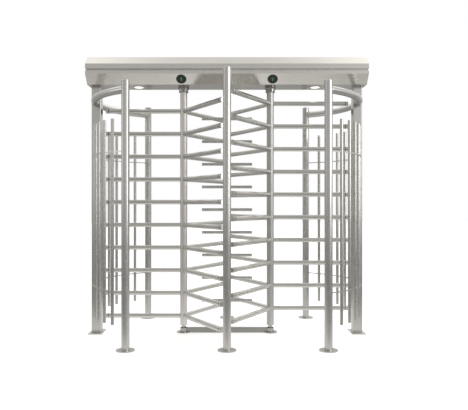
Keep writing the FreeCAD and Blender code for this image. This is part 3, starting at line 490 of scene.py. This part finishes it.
def armWeldPlaces(side, node):
    first = 0 if side > 0 else math.pi
    turns = [first + 2 * math.pi * i / layout["armsPerLayer"] for i in range(layout["armsPerLayer"])]
    heights = levels(node, tubeSize["arm"], layout["armLayers"])
    return [facing((side * rotorOffset, 0, z), (math.cos(turn), math.sin(turn), 0), up)
            for z in heights for turn in turns]


def ringWeldPlaces():
    height = sum(corner.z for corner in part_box("top_rings")) / 2
    angle = math.atan2(postDepth, postSpacing - rotorOffset)
    alongRing = Vector((math.sin(angle), -math.cos(angle)))
    atPosts = [facing((i * postSpacing, j * postDepth, height), (i * alongRing.x, j * alongRing.y, 0), up)
               for i in (-1, 1) for j in (-1, 1)]
    circle = math.hypot(postDepth, postSpacing - rotorOffset)
    face = tubeSize["sidePost"] / 2
    ringX = rotorOffset + math.sqrt(circle ** 2 - face ** 2)
    atSides = [facing((i * ringX, j * face, height), (0, j, 0), up) for i in (-1, 1) for j in (-1, 1)]
    return atPosts, atSides


def hoopTackPlaces():
    lowest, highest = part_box("cage_hoops")
    half = tubeSize["hoop"] / 2
    circle = math.hypot(postDepth, postSpacing - rotorOffset) + layout["barOutset"]
    lastAngle = math.degrees(math.atan2(postDepth, postSpacing - rotorOffset)) - layout["barLastGap"]
    step = (lastAngle - layout["barFirstAngle"]) / (layout["barsPerQuarter"] - 1)
    places = []
    for i in range(layout["barsPerQuarter"]):
        angle = math.radians(layout["barFirstAngle"] + step * i)
        for edge in (-1, 1):  # both flanks of the bar, in the corner it makes with the hoop's inner face
            reach = circle + tubeSize["bar"] * weldSize["tackOut"]
            turn = angle + edge * math.asin(tubeSize["bar"] * weldSize["tackAside"] / reach)
            for z in (lowest.z + half, highest.z - half):
                for sideX in (-1, 1):
                    for sideY in (-1, 1):
                        x = sideX * (rotorOffset + reach * math.cos(turn))
                        places.append(Matrix.Translation((x, sideY * reach * math.sin(turn), z)))
    return places


def makeWelds():
    weld = weldSteel("weldSteel")
    for side, name in ((-1, "left"), (1, "right")):
        places = armWeldPlaces(side, name + "_rotor_arms")
        batches = [(saddleBead(tubeSize["arm"], tubeSize["column"]), places)]
        makePiece(name + "ArmWelds", batches, name + "_rotor", weld)
    combHeights = levels("comb_cross_bars", tubeSize["bar"], layout["armLayers"] - 1)
    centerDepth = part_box("center_posts")[1].y - tubeSize["post"]
    onLong = [facing((0, 0, z), (side, 0, 0), alongDepth) for z in combHeights for side in (-1, 1)]
    onPosts = [facing((0, side * centerDepth, z), (0, -side, 0), up) for z in combHeights for side in (-1, 1)]
    tieHeight = sum(corner.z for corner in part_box("top_tie_tube")) / 2
    tie = [facing((0, side * centerDepth, tieHeight), (0, -side, 0), up) for side in (-1, 1)]
    makePiece("combWelds", [
        (saddleBead(tubeSize["bar"], tubeSize["long"]), onLong),
        (saddleBead(tubeSize["long"], tubeSize["post"]), onPosts),
        (saddleBead(tubeSize["tie"], tubeSize["post"]), tie),
    ], "frame", weld)
    atPosts, atSides = ringWeldPlaces()
    makePiece("ringWelds", [
        (saddleBead(tubeSize["ring"], tubeSize["post"]), atPosts),
        (beadRing(tubeSize["ring"]), atSides),
        (tackBead(), hoopTackPlaces()),
    ], "frame", weld)
    feet = [Matrix.Translation((x, y, tubeSize["plate"])) for x in (-postSpacing, 0, postSpacing)
            for y in (-postDepth, postDepth)]
    sideFeet = [Matrix.Translation((side * sidePostOffset, 0, tubeSize["plate"])) for side in (-1, 1)]
    makePiece("footWelds", [
        (beadRing(tubeSize["post"]), feet),
        (squareBead(tubeSize["sidePost"] / 2, tubeSize["sideCorner"]), sideFeet),
    ], "frame", weld)


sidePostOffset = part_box("side_posts")[1].x - tubeSize["sidePost"] / 2
makeWelds()
print("welds made")

trimSize = {
    "flangeInner": 0.0400,
    "flangeRadius": 0.0470,
    "flangeTop": 0.009,
    "flangeDepth": 0.013,
    "lipRadius": 0.0415,
    "lipDepth": 0.007,
    "lipInner": 0.0335,
    "bevel": 0.0012,
    "steps": 48,
    "sealRadius": 0.0180,
    "sealBead": 0.0016,
    "sealStretch": 2.4,
    "capLength": 0.025,
}


def turnedRing(inner, outer, low, high, bevel=trimSize["bevel"]):
    made = bmesh.new()
    profile = [(inner, low), (outer - bevel, low), (outer, low + bevel), (outer, high - bevel),
               (outer - bevel, high), (inner, high)]
    corners = [made.verts.new((radius, 0, z)) for radius, z in profile]
    for i, corner in enumerate(corners):
        made.edges.new((corners[i - 1], corner))
    bmesh.ops.spin(made, geom=made.verts[:] + made.edges[:], cent=(0, 0, 0), axis=(0, 0, 1), dvec=(0, 0, 0),
                   angle=2 * math.pi, steps=trimSize["steps"], use_merge=True, use_normal_flip=False,
                   use_duplicate=False)
    bmesh.ops.remove_doubles(made, verts=made.verts, dist=1e-6)
    bmesh.ops.recalc_face_normals(made, faces=made.faces)
    return made


def sealRing():
    made = beadRing(trimSize["sealRadius"], trimSize["sealBead"])
    bmesh.ops.scale(made, vec=(1, 1, trimSize["sealStretch"]), verts=made.verts)
    return made


def makeTrim():
    lowest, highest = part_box("top_collars")
    flangeBottom = highest.z - trimSize["flangeTop"]
    places = [Matrix.Translation((side * rotorOffset, 0, 0)) for side in (-1, 1)]
    makePiece("collarRings", [
        (turnedRing(trimSize["flangeInner"], trimSize["flangeRadius"],
                    flangeBottom - trimSize["flangeDepth"], flangeBottom), places),
        (turnedRing(trimSize["lipInner"], trimSize["lipRadius"],
                    lowest.z, lowest.z + trimSize["lipDepth"]), places),
    ], "frame", material["collar"])
    for side, name in ((-1, "left"), (1, "right")):
        node = name + "_rotor_arms"
        tip = (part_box("right_arm_end_caps")[1].x - rotorOffset) - trimSize["capLength"]
        arms = [place @ Matrix.Translation((0, 0, tip)) for place in armWeldPlaces(side, node)]
        makePiece(name + "ArmSeals", [(sealRing(), arms)], name + "_rotor",
                  material["rubber"])


makeTrim()
print("trim made")


studio = {
    "floorRadius": 30.0,
    "cameraDistance": 4.94,
    "cameraHeight": 1.088,
    "lens": 44.9,
    "shift": (0.015, -0.0032),
    "floorDrop": 0.0005,
    "floorNear": 0.80,
    "floorFar": 0.34,
    "floorFade": (0.9, 2.9),
    "frontShade": (0.75, 1.15),
    "frontShadeDepth": 0.34,
    "lights": {
        "keyLight": {"place": (4.4, -2.9, 2.5), "target": (0, 0, 1.3), "size": (2.0, 3.2), "power": 66,
                     "tint": (1.0, 0.99, 0.97)},
        "fillLight": {"place": (-5.0, -1.2, 2.6), "target": (0, 0, 1.2), "size": (2.0, 3.0), "power": 8,
                      "tint": (0.98, 0.99, 1.0)},
    },
}


def makeFloor():
    mesh = bmesh.new()
    bmesh.ops.create_circle(mesh, cap_ends=True, segments=96, radius=studio["floorRadius"])
    bmesh.ops.translate(mesh, verts=mesh.verts, vec=(0, 0, -studio["floorDrop"]))
    data = bpy.data.meshes.new("floor")
    mesh.to_mesh(data)
    mesh.free()
    floor = bpy.data.objects.new("floor", data)
    bpy.context.scene.collection.objects.link(floor)
    floorMaterial, paint = newPaint("paleFloor")
    x, y, z = paint.place()
    near = (x * x + y * y).root()
    shade = 1.0 - (0.0 - y).smoothStep(*studio["frontShade"]) * studio["frontShadeDepth"]
    mirrored = near.smoothStep(*studio["floorFade"]).spread(0.0, 1.0, studio["floorNear"], studio["floorFar"])
    seen = paint.node("ShaderNodeBsdfDiffuse", {}, {"Color": color(0.93, 0.93, 0.93)})
    glow = paint.node("ShaderNodeEmission", {}, {"Color": color(1, 1, 1), "Strength": 0.55})
    pale = paint.node("ShaderNodeAddShader", {}, {0: seen, 1: glow})
    reflected = paint.node("ShaderNodeEmission", {}, {
        "Color": color(1.0, 0.99, 0.96), "Strength": mirrored * shade})
    isSeen = paint.node("ShaderNodeLightPath", {}, {}, "Is Camera Ray")
    shader = paint.node("ShaderNodeMixShader", {}, {0: isSeen, 1: reflected, 2: pale})
    paint.node("ShaderNodeOutputMaterial", {}, {"Surface": shader})
    data.materials.append(floorMaterial)


def makeWorld():
    world = bpy.data.worlds.new("studio")
    world.use_nodes = True
    bpy.context.scene.world = world
    paint = Paint(world.node_tree)
    direction = paint.node("ShaderNodeTexCoord", {}, {}, "Generated")
    x, y, z = [paint.node("ShaderNodeSeparateXYZ", {}, {0: direction}, axis) for axis in range(3)]
    front = z.spread(0.0, 0.55, 0.64, 0.40) * (1.0 - 0.30 * y.smoothStep(0.2, 0.9))
    front = front * (x.smoothStep(0.08, 0.26) * 0.34 + 1.0)
    overhead = (y * 0.6 + z * 0.8).smoothStep(0.55, 0.95)
    ends = abs(x).smoothStep(0.06, 0.30) * overhead
    room = front + overhead * 0.45 + ends * 0.55
    around = paint.node("ShaderNodeBackground", {}, {"Color": color(1.0, 0.99, 0.97), "Strength": room})
    plain = paint.node("ShaderNodeBackground", {}, {"Color": color(1, 1, 1), "Strength": 1.0})
    isSeen = paint.node("ShaderNodeLightPath", {}, {}, "Is Camera Ray")
    mixed = paint.node("ShaderNodeMixShader", {}, {0: isSeen, 1: around, 2: plain})
    paint.node("ShaderNodeOutputWorld", {}, {"Surface": mixed})


def makeLight(name, light):
    data = bpy.data.lights.new(name, "AREA")
    data.shape = "RECTANGLE"
    data.size, data.size_y = light["size"]
    data.energy = light["power"]
    data.color = light["tint"]
    lamp = bpy.data.objects.new(name, data)
    lamp.location = light["place"]
    aim = Vector(light["target"]) - Vector(light["place"])
    lamp.rotation_euler = aim.to_track_quat("-Z", "Y").to_euler()
    lamp.visible_camera = False
    bpy.context.scene.collection.objects.link(lamp)


def makeCamera():
    data = bpy.data.cameras.new("camera")
    data.sensor_width = 36.0
    data.lens = studio["lens"]
    data.shift_x, data.shift_y = studio["shift"]
    camera = bpy.data.objects.new("camera", data)
    camera.location = (0.0, -studio["cameraDistance"], studio["cameraHeight"])
    camera.rotation_euler = (math.radians(90), 0, 0)
    bpy.context.scene.collection.objects.link(camera)
    bpy.context.scene.camera = camera


makeFloor()
makeWorld()
for name, light in studio["lights"].items():
    makeLight(name, light)
makeCamera()
bpy.context.scene.view_settings.view_transform = "Standard"
print("studio ready")
